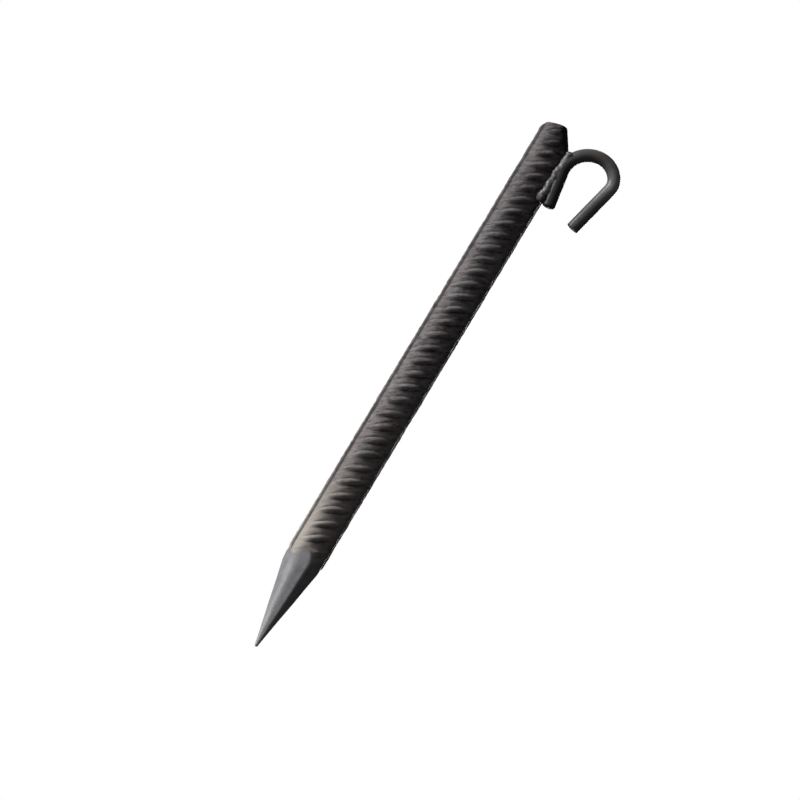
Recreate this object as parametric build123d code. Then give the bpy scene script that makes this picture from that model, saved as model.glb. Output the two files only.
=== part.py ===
"""Ground stake for a tent or awning: ribbed reinforcing bar with a ground point and a welded wire hook.

Millimetres. The bar stands upright on +Z with its axis on the Z axis and its point at Z = 0.
The hook opens towards +X, and -Y is the front, the side where the hook's plane lies.
"""

from build123d import *
import os

# Bar
BLANK_LENGTH = 305.0
CORE_DIAMETER = 19.0
RIB_TILT = 31.0  # degrees between a rib's plane and a square section
TILT_TURN = 12.0  # degrees that the axis of that tilt lies left of -Y
ROW_TURN = 14.0  # degrees that the middle of the front rib row lies right of -Y
RIB_REACH = 10.95  # from the bar's axis to a rib's crest, in the rib's own plane
RIB_CURVE_RADIUS = 9.2  # of the crest; a rib is rounder than the bar, so it fades out at both ends
RIB_CREST_WIDTH = 1.2
RIB_BASE_WIDTH = 4.8
RIB_DEPTH = 2.1  # from crest to base; the base lies inside the core
FIRST_RIB_HEIGHT = 42.2
FIRST_RIB_SPACING = 8.34
SPACING_STEP = 0.054  # each rib stands this much closer to the next, from the point to the head
RIB_COUNT = 36
LONG_RIB_RADIUS = 10.15
LONG_RIB_DEPTH = 1.3
LONG_RIB_CREST_WIDTH = 2.4
LONG_RIB_BASE_WIDTH = 3.0

# Ground point: six long facets
TIP_OFFSET = (1.5, -1.0)
TIP_HALF_WIDTH = 0.6
FACET_TOP_HALF_WIDTH = 8.3
# for each facet, the direction it faces in degrees from -Y towards +X, the height where
# it reaches that half width, and the radius and turn of the hollow that the wheel left above
FACETS = (
    (-8.0, 46.9, 80.0, 10.0),
    (52.0, 46.9, 5.0, 55.0),
    (112.0, 45.4, 12.0, 36.0),
    (172.0, 46.5, 25.0, 24.0),
    (232.0, 44.5, 40.0, 18.0),
    (292.0, 45.6, 60.0, 14.0),
)
CLEAR = 30.0  # how far a cutting tool reaches past the bar

# Sheared head. A cut is the X and Z of a point on it, above the bar's front edge, its slope in
# degrees and the direction it slopes down to, in degrees from +X towards the front.
HEAD_RIDGE = (1.3, 300.0)
HEAD_CUTS = (
    (HEAD_RIDGE, 11.0, 180.0),  # the slightly oblique striking face
    (HEAD_RIDGE, 55.0, 5.0),  # the bevel on the hook's side
    ((-0.2, 298.6), 71.0, 42.0),  # the corner knocked off in front of the bevel
    ((-8.4, 298.1), 63.0, 180.0),  # the clipped corner opposite
)

# Hook, in a plane parallel to XZ
WIRE_DIAMETER = 6.5
HOOK_PLANE_Y = -8.0
SHANK_END = (13.6, 260.4)  # X and Z of the wire's lower end
SHANK_LEAN = 9.0  # degrees that the shank leans towards the bar as it rises
SHANK_LENGTH = 18.9
BENDS = ((13.9, 100.0), (11.15, 60.0), (8.0, 42.0))  # radius and turn of each
LEG_LENGTH = 26.8
SHANK_END_ROUNDING = 1.2
LEG_END_ROUNDING = 0.35

# Weld beads: overlapping drops from a lower point to an upper one, with a radius at each
DROP_SPACING = 2.4
FRONT_BEAD = ((7.4, -8.0, 262.6), 2.8, (7.2, -8.5, 285.2), 2.1)
BACK_BEAD = ((11.0, -3.3, 263.6), 2.5, (10.7, -3.5, 278.0), 2.4)


def on_circle(angle):
    """The unit vector in XY that lies this many degrees from -Y towards +X."""
    return Vector(0, -1, 0).rotate(Axis.Z, angle)


def rib_height(index):
    closer = SPACING_STEP * index * (index - 1) / 2
    return FIRST_RIB_HEIGHT + FIRST_RIB_SPACING * index - closer


def transverse_rib(index, row):
    """One rolled rib, a tilted disc that stands proud of the core on its row's side. Row 0 is the front."""
    section = Polyline(
        (0, 0, -RIB_BASE_WIDTH / 2),
        (RIB_CURVE_RADIUS - RIB_DEPTH, 0, -RIB_BASE_WIDTH / 2),
        (RIB_CURVE_RADIUS, 0, -RIB_CREST_WIDTH / 2),
        (RIB_CURVE_RADIUS, 0, RIB_CREST_WIDTH / 2),
        (RIB_CURVE_RADIUS - RIB_DEPTH, 0, RIB_BASE_WIDTH / 2),
        (0, 0, RIB_BASE_WIDTH / 2),
        close=True,
    )
    disc = revolve(make_face(section), Axis.Z)
    to_row = Rot(0, 0, TILT_TURN + ROW_TURN + 180 * row) * Pos(0, RIB_CURVE_RADIUS - RIB_REACH, 0)
    return Pos(0, 0, rib_height(index)) * Rot(0, 0, -TILT_TURN) * Rot(0, -RIB_TILT, 0) * to_row * disc


def longitudinal_rib(side):
    """One of the two straight ribs that part the rib rows."""
    base_radius = LONG_RIB_RADIUS - LONG_RIB_DEPTH
    section = Polyline(
        (base_radius, -LONG_RIB_BASE_WIDTH / 2),
        (LONG_RIB_RADIUS, -LONG_RIB_CREST_WIDTH / 2),
        (LONG_RIB_RADIUS, LONG_RIB_CREST_WIDTH / 2),
        (base_radius, LONG_RIB_BASE_WIDTH / 2),
        close=True,
    )
    return Rot(0, 0, ROW_TURN + 180 * side) * extrude(make_face(section), BLANK_LENGTH)


def rolled_bar():
    """The bar as it leaves the mill, cut a little longer than the stake."""
    core = Cylinder(CORE_DIAMETER / 2, BLANK_LENGTH, align=(Align.CENTER, Align.CENTER, Align.MIN))
    ribs = [transverse_rib(index, row) for index in range(RIB_COUNT) for row in (0, 1)]
    ribs += [longitudinal_rib(side) for side in (0, 1)]
    return core.fuse(*ribs)


def facet_tool(facing, top, run_out_radius, run_out_turn):
    """The prism that grinds one facet away."""
    outward = on_circle(facing)
    foot = outward.dot(Vector(*TIP_OFFSET)) + TIP_HALF_WIDTH
    with BuildSketch(Plane(origin=(0, 0, 0), x_dir=outward, z_dir=on_circle(facing - 90))) as profile:
        with BuildLine():
            facet = Line((foot, 0), (FACET_TOP_HALF_WIDTH, top))
            run_out = JernArc(facet @ 1, facet % 1, run_out_radius, -run_out_turn)
            Polyline(run_out @ 1, (CLEAR, (run_out @ 1).Y), (CLEAR, -CLEAR), (foot, -CLEAR), (foot, 0))
        make_face()
    return extrude(profile.sketch, CLEAR, both=True)


def ground_point(bar):
    for facet in FACETS:
        bar -= facet_tool(*facet)
    return bar


def sheared_head(bar):
    """Cuts the head's faces and keeps what lies below each."""
    for (x, z), slope, towards in HEAD_CUTS:
        normal = Vector(0, 0, 1).rotate(Axis.Y, slope).rotate(Axis.Z, -towards)
        cut = Plane(origin=(x, -CORE_DIAMETER / 2, z), z_dir=normal)
        bar = split(bar, bisect_by=cut, keep=Keep.BOTTOM)
    return bar


def ribbed_bar():
    return sheared_head(ground_point(rolled_bar()))


def wire_path():
    """The hook's centre line: the shank, the bends of one tightening arch, and the free leg."""
    with BuildLine(Plane.XZ.offset(-HOOK_PLANE_Y)) as path:
        piece = PolarLine(SHANK_END, SHANK_LENGTH, 90 + SHANK_LEAN)
        for radius, turn in BENDS:
            piece = JernArc(piece @ 1, piece % 1, radius, -turn)
        Line(piece @ 1, piece @ 1 + (piece % 1) * LEG_LENGTH)
    return path.wire()


def wire_hook():
    """Round wire swept along the path, with its two cut ends rounded."""
    path = wire_path()
    hook = sweep(Plane(origin=path @ 0, z_dir=path % 0) * Circle(WIRE_DIAMETER / 2), path)
    for end, rounding in ((path @ 0, SHANK_END_ROUNDING), (path @ 1, LEG_END_ROUNDING)):
        rim = hook.edges().filter_by(GeomType.CIRCLE).sort_by_distance(end)[0]
        hook = fillet(rim, rounding)
    return hook


def weld_bead(low, low_radius, high, high_radius, bar, hook):
    """A rippled bead in the groove between bar and wire, fitted to the faces of both."""
    run = Vector(*high) - Vector(*low)
    steps = round(run.length / DROP_SPACING)
    drops = []
    for step in range(steps + 1):
        share = step / steps
        radius = low_radius + (high_radius - low_radius) * share
        drops.append(Pos(Vector(*low) + run * share) * Sphere(radius))
    return drops[0].fuse(*drops[1:]) - bar - hook


def main():
    bar = ribbed_bar()
    hook = wire_hook()
    nodes = {
        "ribbed_bar": bar,
        "wire_hook": hook,
        "weld_bead_front": weld_bead(*FRONT_BEAD, bar, hook),
        "weld_bead_back": weld_bead(*BACK_BEAD, bar, hook),
    }
    os.makedirs("parts", exist_ok=True)
    for name, shape in nodes.items():
        export_step(shape, f"parts/{name}.step")


main()
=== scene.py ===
import math

import bpy
import numpy as np
from mathutils import Matrix, Vector, noise
from mathutils.bvhtree import BVHTree


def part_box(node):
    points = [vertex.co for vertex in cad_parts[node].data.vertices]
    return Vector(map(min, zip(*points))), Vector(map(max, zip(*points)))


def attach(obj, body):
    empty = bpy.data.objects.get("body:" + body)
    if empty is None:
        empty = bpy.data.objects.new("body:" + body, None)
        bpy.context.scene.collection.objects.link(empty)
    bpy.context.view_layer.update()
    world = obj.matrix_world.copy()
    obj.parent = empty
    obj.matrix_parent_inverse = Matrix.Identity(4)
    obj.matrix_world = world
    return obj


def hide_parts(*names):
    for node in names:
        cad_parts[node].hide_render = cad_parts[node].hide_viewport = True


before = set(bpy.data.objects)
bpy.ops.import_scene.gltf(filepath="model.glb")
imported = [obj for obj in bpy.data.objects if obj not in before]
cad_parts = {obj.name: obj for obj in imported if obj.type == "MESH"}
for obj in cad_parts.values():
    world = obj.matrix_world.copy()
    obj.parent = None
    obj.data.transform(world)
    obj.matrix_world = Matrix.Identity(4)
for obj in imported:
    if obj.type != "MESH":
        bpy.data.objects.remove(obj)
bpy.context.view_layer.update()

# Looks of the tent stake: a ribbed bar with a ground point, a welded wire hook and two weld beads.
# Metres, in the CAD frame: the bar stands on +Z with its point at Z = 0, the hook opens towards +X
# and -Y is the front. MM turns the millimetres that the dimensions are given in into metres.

MM = 0.001

# Bar skin
ROW_STEP = 0.45 * MM  # between rows of vertices along the bar
COLUMNS = 136
LONG_RIB_TURN = math.radians(14.0)  # from +X to one longitudinal rib; the other lies opposite
CORNER_TURN = math.radians(11.0)  # from a longitudinal rib's middle to its corner, which gets painted shade
CORNER_WIDTH = math.radians(4.8)
COLUMN_CROWDING = 0.3  # how much closer the columns stand beside the longitudinal ribs
HEAD_FAN_DEPTH = 10.0 * MM  # below the head, where the rows start to fan out
HEAD_FAN_ROWS = 42
TIP_FAN_HEIGHT = 1.6 * MM
TIP_FAN_ROWS = 10
FACET_TOP = 55.0 * MM
FRONT_FACET_TURN = math.radians(-98.0)  # from +X to the way the front facet faces
SOFT_RIDGE_TURN = math.radians(-128.0)  # from +X to the worn ridge left of the front facet
FRONT_FACET_SPREAD = (33.0, 26.0)  # degrees to its sides where its mask starts and where it is full
CORE_RADIUS = 9.5 * MM
RIB_HEIGHT = 1.3 * MM
RIB_RISE = 0.6  # how far a front rib rises for each step towards +X
WAVER_CLEAR = 3.0 * MM  # from the facets and from the head's fan to where the ribs start to waver
SOFTENING = 2  # passes over the whole skin
TIP_SOFTENING = 8  # passes at the tip
TIP_SOFT_HEIGHTS = (22.0 * MM, 10.0 * MM)  # where those set in and where they are full
RIDGE_ROUNDING = 40  # passes across the worn ridge
RIDGE_RUN_OUT = 12.0 * MM  # from the facets' top down to where those are full
WIDE_HOLLOW = (14, 0.02 * MM, 0.45 * MM)  # passes, and the depths where the mask starts and is full
NARROW_HOLLOW = (3, 0.02 * MM, 0.12 * MM)
FACETS_BELOW = 65.0 * MM
STRIKING_FACE_ABOVE = 280.0 * MM
BEVEL_ABOVE = 285.0 * MM
FINE_REACH = 4.0 * MM  # a skin nearer to the spine than this is less uneven

# Hook wire, in a plane parallel to XZ
WIRE_RADIUS = 3.25 * MM
HOOK_PLANE_Y = -8.0 * MM
SHANK_END = (13.6 * MM, 260.4 * MM)
SHANK_LEAN = 9.0
SHANK_LENGTH = 18.9 * MM
BENDS = ((13.9 * MM, 100.0), (11.15 * MM, 60.0), (8.0 * MM, 42.0))  # radius and turn of each
LEG_LENGTH = 26.8 * MM
WIRE_STEP = 0.4 * MM
WIRE_COLUMNS = 48
SHANK_END_ROUNDING = 1.2 * MM
LEG_END_ROUNDING = 0.35 * MM

# Weld beads: from a lower point to an upper one, with a radius at each, in millimetres
FRONT_BEAD = ((7.9, -8.5, 260.6), 2.2, (9.6, -9.2, 290.0), 2.0)
BACK_BEAD = ((11.0, -3.3, 261.6), 2.4, (10.7, -3.5, 279.9), 2.3)
BEAD_STEP = 0.22 * MM
BEAD_COLUMNS = 56
RIPPLE = 2.3 * MM  # from one ripple to the next

# View: square picture, the bar leaning to the right
VIEW_TARGET = Vector((0.0, 0.0, 141.8 * MM))
VIEW_ELEVATION = -12.0
VIEW_ROLL = 31.0
VIEW_DISTANCE = 7.0
VIEW_WIDTH = 389.6 * MM  # what the picture takes in at the bar
SENSOR_WIDTH = 36.0

# Stage and light, in metres and watts
FLOOR_HALF_WIDTH = 30.0
FLOOR_GREY = 0.9
FLOOR_GLOW = 0.97
ROOM_BRIGHT_WAY = (-0.85, -0.25, 0.45)
ROOM_BRIGHTNESS = (0.038, 0.35)  # of the dim side and of the bright side
MIDDLE = (0, 0, 0.15)
LAMPS = (  # name, place, target, size and power
    ("key", (-1.53, -0.24, 0.45), MIDDLE, 0.9, 37),
    ("fill", (-0.45, -1.62, 0.3), MIDDLE, 1.1, 2.2),
    ("top", (-1.15, -0.27, 0.85), (0.02, 0, 0.28), 0.25, 4),
    ("back", (0.35, 1.9, 0.6), MIDDLE, 1.0, 34),
)


# ---------------------------------------------------------------- mesh helpers


def new_piece(name, verts, faces, smooth=True):
    """A mesh object in the scene, from its points and faces."""
    mesh = bpy.data.meshes.new(name)
    mesh.from_pydata([tuple(v) for v in verts], [], faces)
    mesh.validate()
    mesh.update()
    for polygon in mesh.polygons:
        polygon.use_smooth = smooth
    piece = bpy.data.objects.new(name, mesh)
    bpy.context.scene.collection.objects.link(piece)
    return piece


def tube_faces(rows, columns):
    """Faces of a closed tube of vertex rows, with one vertex after the rows at each end."""
    faces = []
    for row in range(rows - 1):
        for column in range(columns):
            following = (column + 1) % columns
            low, high = row * columns, (row + 1) * columns
            faces.append((low + column, low + following, high + following, high + column))
    first_end, last_end = rows * columns, rows * columns + 1
    last_row = (rows - 1) * columns
    for column in range(columns):
        following = (column + 1) % columns
        faces.append((first_end, following, column))
        faces.append((last_end, last_row + column, last_row + following))
    return faces


def surface_of(node):
    """A CAD node's faces, for rays to meet."""
    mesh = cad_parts[node].data
    polygons = [tuple(p.vertices) for p in mesh.polygons]
    return BVHTree.FromPolygons([v.co for v in mesh.vertices], polygons)


def add_mask(piece, name, values):
    """Keeps one number for each vertex, for the materials to read."""
    mask = piece.data.attributes.new(name, "FLOAT", "POINT")
    mask.data.foreach_set("value", np.asarray(values, np.float32))


def softened(grid, passes):
    """A grid of numbers, each averaged with its neighbours. Columns wrap round, rows end."""
    for _ in range(passes):
        grid = (np.roll(grid, 1, axis=1) + 2 * grid + np.roll(grid, -1, axis=1)) / 4
        padded = np.vstack([grid[:1], grid, grid[-1:]])
        grid = (padded[:-2] + 2 * padded[1:-1] + padded[2:]) / 4
    return grid


def rounded_across(grid, passes):
    """A grid of numbers, each averaged with its neighbours in the same row."""
    for _ in range(passes):
        grid = (np.roll(grid, 1, axis=1) + 2 * grid + np.roll(grid, -1, axis=1)) / 4
    return grid


def step_between(low, high, value):
    """0 below low, 1 above high, smooth between."""
    share = np.clip((value - low) / (high - low), 0, 1)
    return share * share * (3 - 2 * share)


def rough(point, size, octaves=3):
    """Fractal noise between about -1 and 1 with features of that size."""
    return noise.fractal(point / size, 1.0, 2.0, octaves)


# ---------------------------------------------------------------- bar


def column_turns():
    """The direction of each column of vertices, from +X, closer beside the longitudinal ribs."""
    evenly = [2 * math.pi * column / COLUMNS for column in range(COLUMNS)]
    return [turn - COLUMN_CROWDING * math.sin(2 * (turn - LONG_RIB_TURN)) for turn in evenly]


def bar_rays(tip, around):
    """Where each row of rays starts and how it points: level along the bar, fanned out at both ends."""
    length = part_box("ribbed_bar")[1].z

    def spine(z):
        share = min(z / FACET_TOP, 1.0)
        return Vector((tip.x * (1 - share), tip.y * (1 - share), z))

    rows = []
    for row in range(TIP_FAN_ROWS):
        rows.append((spine(TIP_FAN_HEIGHT), -math.pi / 2 * (1 - (row + 1) / (TIP_FAN_ROWS + 1))))
    level_rows = round((length - HEAD_FAN_DEPTH - TIP_FAN_HEIGHT) / ROW_STEP)
    for row in range(level_rows + 1):
        share = row / level_rows
        rows.append((spine(TIP_FAN_HEIGHT + share * (length - HEAD_FAN_DEPTH - TIP_FAN_HEIGHT)), 0.0))
    for row in range(HEAD_FAN_ROWS):
        rows.append((spine(length - HEAD_FAN_DEPTH), math.pi / 2 * (row + 1) / (HEAD_FAN_ROWS + 1)))
    rays = []
    for start, rise in rows:
        level, up = math.cos(rise), math.sin(rise)
        rays.append([(start, Vector((math.cos(a) * level, math.sin(a) * level, up))) for a in around])
    return rays


def felt(tree, start, way, spread):
    """How far the CAD surface is along a ray, and how much it faces up. The ribs waver in the spread."""
    if way.z == 0.0 and spread[0] < start.z < spread[1]:
        place = start + way * CORE_RADIUS
        waver = 0.42 * rough(place, 7 * MM, 2) + 0.16 * rough(place, 2.4 * MM, 2)
        start = start + Vector((0, 0, waver * MM))
    _, normal, _, distance = tree.ray_cast(start, way)
    return distance, normal.z


def bar_masks(point, up):
    """How far a point lies on a ground facet, a rib's crest, the striking face and the bevel, 0 to 1."""
    radius = math.hypot(point.x, point.y)
    below_core = CORE_RADIUS - radius
    ground = step_between(0.03 * MM, 0.2 * MM, below_core) if point.z < FACETS_BELOW else 0.0
    crest = step_between(0.3, 0.9, (radius - CORE_RADIUS) / RIB_HEIGHT)
    cut = step_between(0.85, 0.95, up) if point.z > STRIKING_FACE_ABOVE else 0.0
    bevel = step_between(0.12, 0.3, up) * (1 - cut) if point.z > BEVEL_ABOVE else 0.0
    return {"ground": ground, "crest": crest, "cut": cut, "bevel": bevel}


def unevenness(point, on_ground, on_crest):
    """How far the skin stands out at a point, in millimetres.

    Scale, rolling marks and streaks beside the ribs on the rolled skin, worn crests, and flat
    strokes of the wheel on the ground facets.
    """
    along_rib = Vector((point.x * 0.3, point.y * 0.3, point.z - RIB_RISE * point.x))
    skin = 0.09 * rough(point, 8 * MM) + 0.08 * rough(point + Vector((1, 0, 0)), 2.0 * MM)
    skin += 0.17 * rough(along_rib, 2.1 * MM)
    worn = -0.22 * on_crest * max(0.0, rough(point + Vector((0, 2, 0)), 6 * MM))
    stroke = 0.08 * rough(Vector((point.x, point.y, point.z * 0.3)), 6 * MM, 2)
    return (skin + worn) * (1 - on_ground) + stroke * on_ground


def softened_skin(reach, heights, turns):
    """The reach of every ray with the edges softened, most at the tip and on the worn ridge."""
    reach = softened(reach, SOFTENING)
    near_tip = step_between(*TIP_SOFT_HEIGHTS, heights)[:, None]
    reach = reach * (1 - near_tip) + softened(reach, TIP_SOFTENING) * near_tip
    beside_ridge = np.cos(turns - SOFT_RIDGE_TURN).clip(0, 1) ** 4
    below_shoulder = step_between(FACET_TOP, FACET_TOP - RIDGE_RUN_OUT, heights)
    share = np.outer(below_shoulder, beside_ridge)
    return reach * (1 - share) + rounded_across(reach, RIDGE_ROUNDING) * share


def hollow_shade_mask(reach, turns):
    """Where shade is painted: the hollows between ribs and the corners beside the longitudinal ribs."""
    passes, start, full = WIDE_HOLLOW
    wide = step_between(start, full, softened(reach, passes) - reach)
    passes, start, full = NARROW_HOLLOW
    narrow = step_between(start, full, softened(reach, passes) - reach)
    from_rib = np.array([abs(math.remainder(turn - LONG_RIB_TURN, math.pi)) for turn in turns])
    corner = np.exp(-(((from_rib - CORNER_TURN) / CORNER_WIDTH) ** 2))
    return np.maximum(np.maximum(wide, narrow), corner)


def make_bar():
    """The bar's skin: the CAD shape felt from inside, with softened edges and an uneven surface."""
    tree = surface_of("ribbed_bar")
    lowest = [v.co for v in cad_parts["ribbed_bar"].data.vertices if v.co.z < 0.2 * MM]
    tip = sum(lowest, Vector()) / len(lowest)
    around = column_turns()
    rays = bar_rays(tip, around)
    top_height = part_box("ribbed_bar")[1].z
    spread = (FACET_TOP + WAVER_CLEAR, top_height - HEAD_FAN_DEPTH - WAVER_CLEAR)
    met = np.array([[felt(tree, start, way, spread) for start, way in row] for row in rays])
    turns = np.array(around)
    heights = np.array([row[0][0].z for row in rays])
    reach, facing_up = softened_skin(met[..., 0], heights, turns), met[..., 1]

    verts, masks = [], []
    for row, distances, ups in zip(rays, reach, facing_up):
        for (start, way), distance, up in zip(row, distances, ups):
            point = start + way * distance
            mask = bar_masks(point, up)
            push = unevenness(point, mask["ground"], mask["crest"])
            fine = min(1.0, distance / FINE_REACH)
            verts.append(point + way * push * fine * MM)
            masks.append(mask)
    bottom = tree.ray_cast(rays[0][0][0], Vector((0, 0, -1)))[0]
    top = tree.ray_cast(rays[-1][0][0], Vector((0, 0, 1)))[0]
    verts += [bottom, top]
    bar = new_piece("stake_bar", verts, tube_faces(len(rays), COLUMNS))

    at_ends = {"ground": [1.0, 0.0], "crest": [0.0, 0.0], "cut": [0.0, 1.0], "bevel": [0.0, 0.0]}
    for name, ends in at_ends.items():
        add_mask(bar, name, [mask[name] for mask in masks] + ends)
    start, full = (math.cos(math.radians(degrees)) for degrees in FRONT_FACET_SPREAD)
    front = step_between(start, full, np.cos(turns - FRONT_FACET_TURN))
    add_mask(bar, "front", [*np.tile(front, len(rays)), 0.0, 0.0])
    # the hollows and corners that the bar's material darkens as painted shade
    add_mask(bar, "hollow", [*hollow_shade_mask(reach, turns).ravel(), 0.0, 0.0])
    return bar


# ---------------------------------------------------------------- hook


def wire_line():
    """Points and headings along the middle of the wire, from the shank's foot to the free end."""
    heading = math.radians(90 + SHANK_LEAN)
    place = Vector((SHANK_END[0], HOOK_PLANE_Y, SHANK_END[1]))
    line = [(place.copy(), heading)]
    arcs = [(radius * math.radians(turn), turn) for radius, turn in BENDS]
    legs = ((SHANK_LENGTH, 0.0), *arcs, (LEG_LENGTH, 0.0))
    for length, turn in legs:
        steps = round(length / WIRE_STEP)
        bend = math.radians(turn) / steps
        chord = length / steps * (math.sin(bend / 2) / (bend / 2) if bend else 1.0)
        for _ in range(steps):
            heading -= bend / 2
            place = place + Vector((math.cos(heading), 0, math.sin(heading))) * chord
            heading -= bend / 2
            line.append((place.copy(), heading))
    return line


def rounded_end(place, heading, rounding, sign):
    """Rings of a rounded end, from the flat's middle outwards. sign is 1 at the start, -1 at the end.

    A ring is its middle, its heading, its radius and its share of the cut mask.
    """
    flat = WIRE_RADIUS - rounding
    shape = [(flat * share, 0.0) for share in (0.3, 0.6, 0.85)]
    for degrees in (5, 20, 38, 56, 74):
        turn = math.radians(degrees)
        shape.append((flat + rounding * math.sin(turn), rounding * (1 - math.cos(turn))))
    way = Vector((math.cos(heading), 0, math.sin(heading)))
    return [(place + way * depth * sign, heading, radius, 1.0) for radius, depth in shape]


def make_hook():
    """The bent wire, with drawing marks and two cut ends."""
    line = wire_line()
    length = sum((b[0] - a[0]).length for a, b in zip(line, line[1:]))
    rings = rounded_end(*line[0], SHANK_END_ROUNDING, 1)
    travelled = 0.0
    for (before, _), (place, heading) in zip(line, line[1:]):
        travelled += (place - before).length
        if SHANK_END_ROUNDING < travelled < length - LEG_END_ROUNDING:
            rings.append((place, heading, WIRE_RADIUS, 0.0))
    rings += rounded_end(*line[-1], LEG_END_ROUNDING, -1)[::-1]

    verts, cut = [], []
    for place, heading, radius, is_cut in rings:
        across = Vector((math.sin(heading), 0, -math.cos(heading)))
        for column in range(WIRE_COLUMNS):
            angle = 2 * math.pi * column / WIRE_COLUMNS
            way = across * math.cos(angle) + Vector((0, 1, 0)) * math.sin(angle)
            point = place + way * radius
            dent = 0.035 * rough(point, 7 * MM, 2) + 0.012 * rough(point, 1.5 * MM, 2)
            verts.append(point + way * dent * MM * min(1.0, radius / WIRE_RADIUS))
            cut.append(is_cut)
    verts += [line[0][0], line[-1][0]]
    hook = new_piece("hook_wire", verts, tube_faces(len(rings), WIRE_COLUMNS))
    add_mask(hook, "cut", cut + [1.0, 1.0])
    return hook


# ---------------------------------------------------------------- weld


def make_bead(name, low, low_radius, high, high_radius, seed):
    """A bead of weld metal: one ridge that wavers, with the arc's ripples across it and rounded ends."""
    low, high = Vector(low) * MM, Vector(high) * MM
    length = (high - low).length
    along = (high - low).normalized()
    side = along.cross(Vector((0, 1, 0))).normalized()
    out = along.cross(side)
    rows = round(length / BEAD_STEP)
    verts = []
    for row in range(rows + 1):
        share = (row + 0.5) / (rows + 1)
        travelled = share * length
        mark = Vector((seed, 0, travelled))
        radius = (low_radius + (high_radius - low_radius) * share) * MM
        end = min(travelled, length - travelled) / radius
        closing = math.sqrt(max(0.0, 1 - (1 - min(end, 1.0)) ** 2))
        waver = side * rough(mark, 5 * MM, 2) * 0.6 * MM
        waver += out * rough(mark + along, 4 * MM, 2) * 0.3 * MM
        middle = low + along * travelled + waver
        wave = 2 * math.pi * travelled / RIPPLE + rough(mark, 6 * MM)
        for column in range(BEAD_COLUMNS):
            angle = 2 * math.pi * column / BEAD_COLUMNS
            way = side * math.cos(angle) + out * math.sin(angle)
            ripple = 0.04 * math.sin(wave + 1.3 * math.sin(angle))
            lump = 0.22 * rough(middle + way * radius, 3.2 * MM, 2)
            verts.append(middle + way * radius * closing * (1 + ripple + lump))
    verts += [low - along * 0.1 * MM, high + along * 0.1 * MM]
    return new_piece(name, verts, tube_faces(rows + 1, BEAD_COLUMNS))


# ---------------------------------------------------------------- materials


class Shade:
    """One material's node tree, with short ways to add its nodes."""

    def __init__(self, name):
        self.material = bpy.data.materials.new(name)
        self.material.use_nodes = True
        self.tree = self.material.node_tree
        self.shader = self.tree.nodes["Principled BSDF"]
        self.place = self.tree.nodes.new("ShaderNodeTexCoord").outputs["Object"]

    def node(self, kind, links=(), **settings):
        made = self.tree.nodes.new(kind)
        for key, value in settings.items():
            setattr(made, key, value)
        for socket, source in dict(links).items():
            self.put(made.inputs[socket], source)
        return made

    def put(self, socket, source):
        """Links an output to a socket, or sets the socket's own value."""
        if isinstance(source, bpy.types.NodeSocket):
            self.tree.links.new(source, socket)
        else:
            socket.default_value = source

    def mask(self, name):
        return self.node("ShaderNodeAttribute", attribute_name=name).outputs["Fac"]

    def noise_at(self, place, scale, detail, roughness):
        """Fractal noise between 0 and 1, read at a scaled place."""
        mapped = self.node("ShaderNodeMapping", {"Vector": place, "Scale": scale})
        links = {"Vector": mapped.outputs[0], "Scale": 1.0, "Detail": detail, "Roughness": roughness}
        return self.node("ShaderNodeTexNoise", links).outputs["Fac"]

    def noise(self, size, detail=4.0, roughness=0.55, stretch=(1, 1, 1)):
        """Noise with features of that size, drawn out along the axes."""
        return self.noise_at(self.place, [s / size for s in stretch], detail, roughness)

    def beside_ribs(self, size, detail, roughness):
        """Noise drawn out along the front ribs."""
        apart = self.node("ShaderNodeSeparateXYZ", {"Vector": self.place})
        rise = self.math("MULTIPLY_ADD", apart.outputs["X"], -RIB_RISE, apart.outputs["Z"])
        links = {"X": apart.outputs["X"], "Y": apart.outputs["Y"], "Z": rise}
        level = self.node("ShaderNodeCombineXYZ", links).outputs[0]
        return self.noise_at(level, [s / size for s in (0.3, 0.3, 1)], detail, roughness)

    def between(self, value, low, high, out_low=0.0, out_high=1.0):
        """Maps low..high to out_low..out_high and holds it there."""
        made = self.node("ShaderNodeMapRange", {"Value": value, "From Min": low, "From Max": high})
        made.inputs["To Min"].default_value = out_low
        made.inputs["To Max"].default_value = out_high
        return made.outputs[0]

    def math(self, operation, *values):
        made = self.node("ShaderNodeMath", operation=operation)
        for socket, value in zip(made.inputs, values):
            self.put(socket, value)
        return made.outputs[0]

    def mix(self, share, first, second):
        """A colour between two colours."""
        made = self.node("ShaderNodeMix", data_type="RGBA")
        for name, value in (("Factor", share), ("A", first), ("B", second)):
            fitting = (s for s in made.inputs if s.name == name)
            socket = next(s for s in fitting if name == "Factor" or s.type == "RGBA")
            self.put(socket, (*value, 1.0) if isinstance(value, tuple) else value)
        return next(s for s in made.outputs if s.type == "RGBA")

    def mix_numbers(self, share, first, second):
        return self.node("ShaderNodeMix", {0: share, 2: first, 3: second}, data_type="FLOAT").outputs[0]

    def both(self, first, second):
        """The product of two shares."""
        return self.math("MULTIPLY", first, second)

    def bump(self, height, distance, strength, normal=None):
        links = {"Height": height, "Distance": distance, "Strength": strength}
        made = self.node("ShaderNodeBump", links)
        if normal:
            self.put(made.inputs["Normal"], normal)
        return made.outputs[0]

    def set(self, **inputs):
        """Sets the shader's inputs, named with underscores for spaces."""
        for name, value in inputs.items():
            self.put(self.shader.inputs[name.replace("_", " ")], value)
        return self.material


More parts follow.
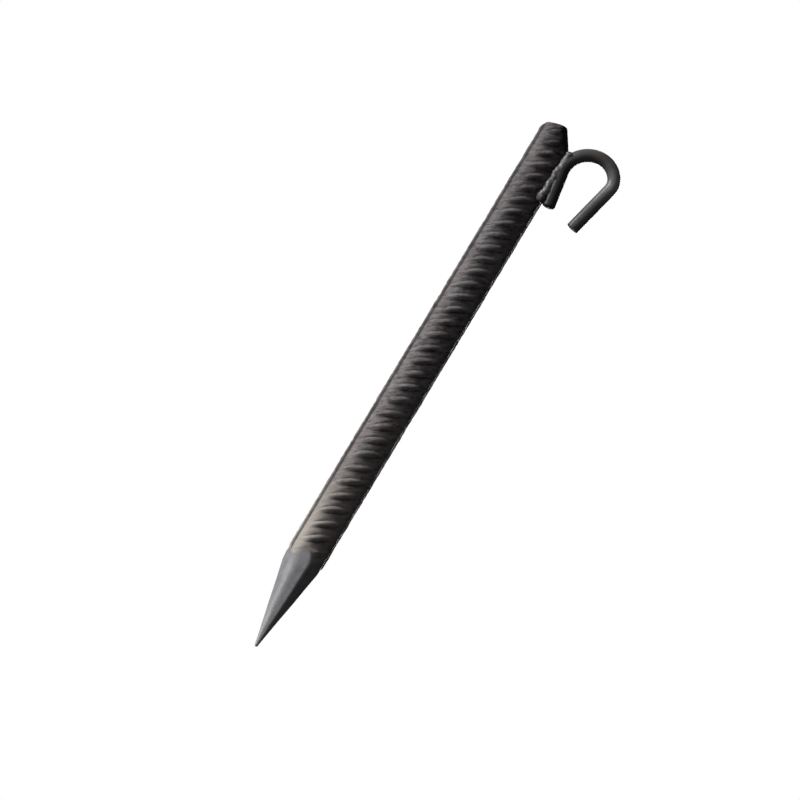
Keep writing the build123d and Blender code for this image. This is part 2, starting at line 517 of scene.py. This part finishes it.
# Colours of the bar
SCALE_GREY = (0.076, 0.069, 0.072)
SCALE_BROWN = (0.122, 0.094, 0.096)
SCALE_GREEN = (0.100, 0.114, 0.106)
PALE_STREAK = (0.20, 0.180, 0.182)
DARK_STREAK = (0.027, 0.022, 0.024)
PALE_SPECKLE = (0.24, 0.22, 0.215)
WORN_LIT_CREST = (0.22, 0.21, 0.20)
WORN_BY_SOIL = (0.25, 0.23, 0.205)
SCOURED_AND_LIT = (0.36, 0.33, 0.29)
HOLLOW_SHADE = (0.012, 0.011, 0.011)
HEAD_END_SHADE = (0.022, 0.022, 0.023)
HOOK_SIDE_SHADE = (0.026, 0.024, 0.025)
SIDE_FACET_SHADED = ((0.17, 0.17, 0.18), (0.25, 0.245, 0.25))
FRONT_FACET_LIT = ((0.29, 0.29, 0.305), (0.42, 0.415, 0.43))
WHEEL_STREAK = (0.20, 0.20, 0.21)
BARE_TIP = (0.40, 0.38, 0.37)
STRUCK = ((0.045, 0.045, 0.047), (0.13, 0.125, 0.12))
BEVEL_SHADE = (0.009, 0.009, 0.010)


def scale_colour(shade, across, height, pale_patch):
    """Black mill scale with brown and greenish patches, streaked beside the ribs and paler on their
    crests, partly worn and partly a painted highlight.
    """
    patches = shade.between(shade.noise(26 * MM, 5.0), 0.42, 0.62)
    green = shade.between(shade.noise(34 * MM, 3.0, stretch=(1, 1.4, 0.8)), 0.5, 0.66)
    speckle = shade.between(shade.noise(1.6 * MM, 6.0, 0.7), 0.5, 0.72)
    colour = shade.mix(patches, SCALE_GREY, SCALE_BROWN)
    colour = shade.mix(shade.both(green, 0.6), colour, SCALE_GREEN)
    streaks = shade.between(shade.beside_ribs(1.1 * MM, 5.0, 0.7), 0.40, 0.62)
    colour = shade.mix(shade.both(streaks, 0.85), colour, PALE_STREAK)
    dark_streaks = shade.between(shade.beside_ribs(1.9 * MM, 5.0, 0.7), 0.5, 0.64, 0.0, 0.9)
    colour = shade.mix(dark_streaks, colour, DARK_STREAK)
    colour = shade.mix(shade.both(speckle, 0.3), colour, PALE_SPECKLE)
    # paler crests, partly wear and partly a painted highlight where the light catches them
    colour = shade.mix(shade.both(pale_patch, 0.25), colour, WORN_LIT_CREST)

    # above the facets the scale is worn off by the soil, most near the point
    worn = shade.between(height, 150 * MM, 52 * MM)
    worn = shade.both(worn, shade.between(shade.noise(14 * MM), 0.3, 0.7, 0.25, 1.0))
    colour = shade.mix(shade.both(worn, 0.6), colour, WORN_BY_SOIL)
    # painted highlight: the left side just above the facets, where the light falls, is paler, partly
    # scale scoured off as well
    on_left = shade.between(across, 1 * MM, -6 * MM)
    scoured_and_lit = shade.both(shade.between(height, 92 * MM, 60 * MM), on_left)
    colour = shade.mix(shade.both(scoured_and_lit, 0.7), colour, SCOURED_AND_LIT)

    # painted shade darkens the hollows between ribs and the corners beside the longitudinal ribs
    hollow_shade_strength = shade.between(shade.noise(3 * MM), 0.25, 0.6, 0.72, 0.97)
    colour = shade.mix(shade.both(shade.mask("hollow"), hollow_shade_strength), colour, HOLLOW_SHADE)
    # painted shade: the skin darkens towards the head, in place of light falling off there
    colour = shade.mix(shade.between(height, 130 * MM, 300 * MM, 0.0, 0.3), colour, HEAD_END_SHADE)
    # painted shade: the head's right side beside the hook is darkened where shade falls
    beside_hook = shade.between(across, -5 * MM, 4 * MM)
    hook_side_shade = shade.both(shade.between(height, 284 * MM, 292 * MM), beside_hook)
    return shade.mix(shade.both(hook_side_shade, 0.7), colour, HOOK_SIDE_SHADE)


def facet_colour(shade, height, streak):
    """Bare ground metal, palest at the tip and, as painted light, on the front facet; the side facets
    are darker as painted shade.
    """
    cloud = shade.between(shade.noise(4 * MM, 5.0, 0.6), 0.3, 0.7)
    # painted light and shade: the side facets get a darker copy of the ground metal, the front facet a
    # lighter one
    bare = shade.mix(cloud, *SIDE_FACET_SHADED)
    bare = shade.mix(shade.mask("front"), bare, shade.mix(cloud, *FRONT_FACET_LIT))
    bare = shade.mix(shade.between(streak, 0.3, 0.7, 0.0, 0.25), bare, WHEEL_STREAK)
    return shade.mix(shade.between(height, 30 * MM, 3 * MM, 0.0, 0.6), bare, BARE_TIP)


def bar_material():
    """Mill scale along the bar, bare metal on the ground facets and a dull sheared head, its bevel
    painted near black as shade.
    """
    shade = Shade("bar_steel")
    ground, crest, cut = shade.mask("ground"), shade.mask("crest"), shade.mask("cut")
    apart = shade.node("ShaderNodeSeparateXYZ", {"Vector": shade.place})
    across, height = apart.outputs["X"], apart.outputs["Z"]
    # pale patches on the rib crests: partly wear, partly a painted highlight
    pale_patch = shade.both(crest, shade.between(shade.noise(3.5 * MM), 0.35, 0.65))
    streak = shade.noise(0.5 * MM, 5.0, 0.6, stretch=(0.12, 0.12, 1.0))

    colour = scale_colour(shade, across, height, pale_patch)
    colour = shade.mix(ground, colour, facet_colour(shade, height, streak))
    colour = shade.mix(cut, colour, shade.mix(shade.noise(2.5 * MM, 5.0), *STRUCK))
    # painted shade: the head's bevel, turned away from the light, is painted near black
    colour = shade.mix(shade.both(shade.mask("bevel"), 0.9), colour, BEVEL_SHADE)

    bare_share = shade.math("MAXIMUM", ground, shade.both(pale_patch, 0.35))
    rough_skin = shade.between(shade.noise(4 * MM, 5.0), 0.3, 0.7, 0.55, 0.8)
    rough_ground = shade.between(streak, 0.3, 0.7, 0.5, 0.6)

    unground = shade.between(ground, 0.0, 1.0, 0.7, 0.12)
    grain = shade.bump(shade.noise(0.7 * MM, 5.0, 0.65), 0.09 * MM, unground)
    grain = shade.bump(shade.noise(2.6 * MM, 5.0, 0.6), 0.14 * MM, unground, grain)
    grain = shade.bump(shade.beside_ribs(1.5 * MM, 5.0, 0.65), 0.22 * MM, unground, grain)
    return shade.set(
        Base_Color=colour,
        Metallic=shade.both(bare_share, 0.25),
        Roughness=shade.mix_numbers(ground, rough_skin, rough_ground),
        Normal=shade.bump(streak, 0.03 * MM, shade.both(ground, 0.5), grain),
        Specular_IOR_Level=0.12,
    )


# Colours of the wire
COAT = ((0.06, 0.06, 0.062), (0.105, 0.103, 0.103))
WIRE_RUST = (0.12, 0.07, 0.045)
WIRE_END = (0.11, 0.105, 0.10)
WIRE_LEG_HIGHLIGHT = (0.30, 0.295, 0.29)
SHANK_SHADE = (0.016, 0.016, 0.017)


def wire_material():
    """Smooth drawn wire with a dark satin coat, tinted brown over the arch, with a painted highlight on
    the leg and painted shade on the shank.
    """
    shade = Shade("hook_wire_coat")
    apart = shade.node("ShaderNodeSeparateXYZ", {"Vector": shade.place})
    across, height = apart.outputs["X"], apart.outputs["Z"]
    cloud = shade.noise(8 * MM, 4.0)
    colour = shade.mix(cloud, *COAT)
    arch = shade.between(height, 288 * MM, 299 * MM)
    rust = shade.both(arch, shade.between(shade.noise(5 * MM, 5.0), 0.45, 0.65))
    colour = shade.mix(shade.both(rust, 0.7), colour, WIRE_RUST)
    colour = shade.mix(shade.both(shade.mask("cut"), 0.6), colour, WIRE_END)
    # painted highlight: a paler patch on the leg below the bend
    on_leg = shade.between(across, 26 * MM, 34 * MM)
    pale_patch = shade.both(on_leg, shade.between(height, 270 * MM, 282 * MM))
    pale_patch = shade.both(pale_patch, shade.between(cloud, 0.3, 0.7, 0.15, 0.5))
    colour = shade.mix(pale_patch, colour, WIRE_LEG_HIGHLIGHT)
    # painted shade: the shank is darkened where the bar shades it
    on_shank = shade.between(across, 19 * MM, 15 * MM)
    scale = shade.both(shade.between(height, 289 * MM, 281 * MM), on_shank)
    colour = shade.mix(shade.both(scale, 0.85), colour, SHANK_SHADE)
    fine = shade.bump(shade.noise(0.9 * MM, 4.0), 0.03 * MM, 0.25)
    fine = shade.bump(shade.noise(3 * MM, 3.0), 0.05 * MM, 0.4, fine)
    return shade.set(
        Base_Color=colour,
        Metallic=0.1,
        Roughness=shade.between(shade.noise(3 * MM, 4.0), 0.3, 0.7, 0.34, 0.5),
        Normal=fine,
        Specular_IOR_Level=0.25,
    )


# Colours of the weld
OXIDE = ((0.085, 0.082, 0.082), (0.17, 0.165, 0.162))
WELD_RUST = (0.11, 0.065, 0.04)


def weld_material():
    """Arc-weld metal: dark oxide with paler patches and a few brown spots."""
    shade = Shade("weld_metal_skin")
    oxide = shade.between(shade.noise(2.2 * MM, 5.0, 0.6), 0.38, 0.66)
    colour = shade.mix(oxide, *OXIDE)
    spots = shade.between(shade.noise(1.5 * MM, 4.0), 0.58, 0.72, 0.0, 0.4)
    colour = shade.mix(spots, colour, WELD_RUST)
    skin = shade.bump(shade.noise(0.6 * MM, 5.0, 0.65), 0.06 * MM, 0.5)
    return shade.set(
        Base_Color=colour,
        Metallic=0.3,
        Roughness=shade.between(oxide, 0.0, 1.0, 0.62, 0.4),
        Normal=skin,
        Specular_IOR_Level=0.4,
    )


# ---------------------------------------------------------------- stage, light and view


def make_floor():
    """A wide white floor under the point, seen from above only, that throws no light back."""
    half = FLOOR_HALF_WIDTH
    corners = [(-half, -half, 0), (half, -half, 0), (half, half, 0), (-half, half, 0)]
    floor = new_piece("floor", corners, [(0, 1, 2, 3)])
    material = bpy.data.materials.new("floor_white")
    material.use_nodes = True
    tree = material.node_tree
    tree.nodes.clear()
    matt = tree.nodes.new("ShaderNodeBsdfDiffuse")
    matt.inputs["Color"].default_value = (FLOOR_GREY, FLOOR_GREY, FLOOR_GREY, 1)
    glow = tree.nodes.new("ShaderNodeEmission")
    glow.inputs["Strength"].default_value = FLOOR_GLOW
    both = tree.nodes.new("ShaderNodeAddShader")
    clear = tree.nodes.new("ShaderNodeBsdfTransparent")
    side = tree.nodes.new("ShaderNodeNewGeometry")
    choose = tree.nodes.new("ShaderNodeMixShader")
    out = tree.nodes.new("ShaderNodeOutputMaterial")
    links = tree.links
    links.new(matt.outputs[0], both.inputs[0])
    links.new(glow.outputs[0], both.inputs[1])
    links.new(side.outputs["Backfacing"], choose.inputs[0])
    links.new(both.outputs[0], choose.inputs[1])
    links.new(clear.outputs[0], choose.inputs[2])
    links.new(choose.outputs[0], out.inputs["Surface"])
    floor.data.materials.append(material)
    floor.visible_diffuse = False
    floor.visible_glossy = False


def make_world():
    """White to the eye, and for the light a dim room that is brighter on the key light's side."""
    world = bpy.data.worlds.new("studio")
    world.use_nodes = True
    bpy.context.scene.world = world
    tree = world.node_tree
    tree.nodes.clear()
    links = tree.links
    way = tree.nodes.new("ShaderNodeTexCoord").outputs["Generated"]
    turn = tree.nodes.new("ShaderNodeVectorMath")
    turn.operation = "DOT_PRODUCT"
    turn.inputs[1].default_value = Vector(ROOM_BRIGHT_WAY).normalized()
    links.new(way, turn.inputs[0])
    ramp = tree.nodes.new("ShaderNodeMapRange")
    links.new(turn.outputs["Value"], ramp.inputs["Value"])
    ramp.inputs["From Min"].default_value = -0.4
    ramp.inputs["From Max"].default_value = 1.0
    ramp.inputs["To Min"].default_value = ROOM_BRIGHTNESS[0]
    ramp.inputs["To Max"].default_value = ROOM_BRIGHTNESS[1]
    room = tree.nodes.new("ShaderNodeBackground")
    links.new(ramp.outputs[0], room.inputs["Strength"])
    seen = tree.nodes.new("ShaderNodeBackground")
    seen.inputs["Color"].default_value = (1, 1, 1, 1)
    path = tree.nodes.new("ShaderNodeLightPath")
    choose = tree.nodes.new("ShaderNodeMixShader")
    out = tree.nodes.new("ShaderNodeOutputWorld")
    links.new(path.outputs["Is Camera Ray"], choose.inputs[0])
    links.new(room.outputs[0], choose.inputs[1])
    links.new(seen.outputs[0], choose.inputs[2])
    links.new(choose.outputs[0], out.inputs["Surface"])


def add_lamp(name, place, target, size, power):
    """A square soft box that faces a point."""
    lamp = bpy.data.lights.new(name, "AREA")
    lamp.shape = "SQUARE"
    lamp.size = size
    lamp.energy = power
    holder = bpy.data.objects.new(name, lamp)
    holder.location = place
    holder.visible_camera = False
    holder.rotation_euler = (Vector(target) - Vector(place)).to_track_quat("-Z", "Y").to_euler()
    bpy.context.scene.collection.objects.link(holder)


def make_camera():
    """The camera in front of the bar, looking up at it a little, turned so that the bar leans right."""
    rise, roll = math.radians(VIEW_ELEVATION), math.radians(VIEW_ROLL)
    back = Vector((0, -math.cos(rise), math.sin(rise)))
    level = Vector((1, 0, 0))
    up = back.cross(level)
    right = level * math.cos(roll) + up * math.sin(roll)
    above = up * math.cos(roll) - level * math.sin(roll)
    data = bpy.data.cameras.new("view")
    data.sensor_width = SENSOR_WIDTH
    data.lens = SENSOR_WIDTH * VIEW_DISTANCE / VIEW_WIDTH
    data.clip_end = 100  # metres
    camera = bpy.data.objects.new("view", data)
    turned = Matrix((right, above, back)).transposed().to_4x4()
    camera.matrix_world = Matrix.Translation(VIEW_TARGET + back * VIEW_DISTANCE) @ turned
    bpy.context.scene.collection.objects.link(camera)
    bpy.context.scene.camera = camera


def finished(piece, material, node):
    """Gives a piece its material and its place in the frame."""
    piece.data.materials.clear()
    piece.data.materials.append(material)
    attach(piece, "root")
    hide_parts(node)


def main():
    bpy.context.scene.view_settings.view_transform = "Standard"
    weld = weld_material()
    finished(make_bar(), bar_material(), "ribbed_bar")
    finished(make_hook(), wire_material(), "wire_hook")
    finished(make_bead("weld_front", *FRONT_BEAD, seed=3), weld, "weld_bead_front")
    finished(make_bead("weld_back", *BACK_BEAD, seed=5), weld, "weld_bead_back")
    make_floor()
    make_world()
    for lamp in LAMPS:
        add_lamp(*lamp)
    make_camera()


main()
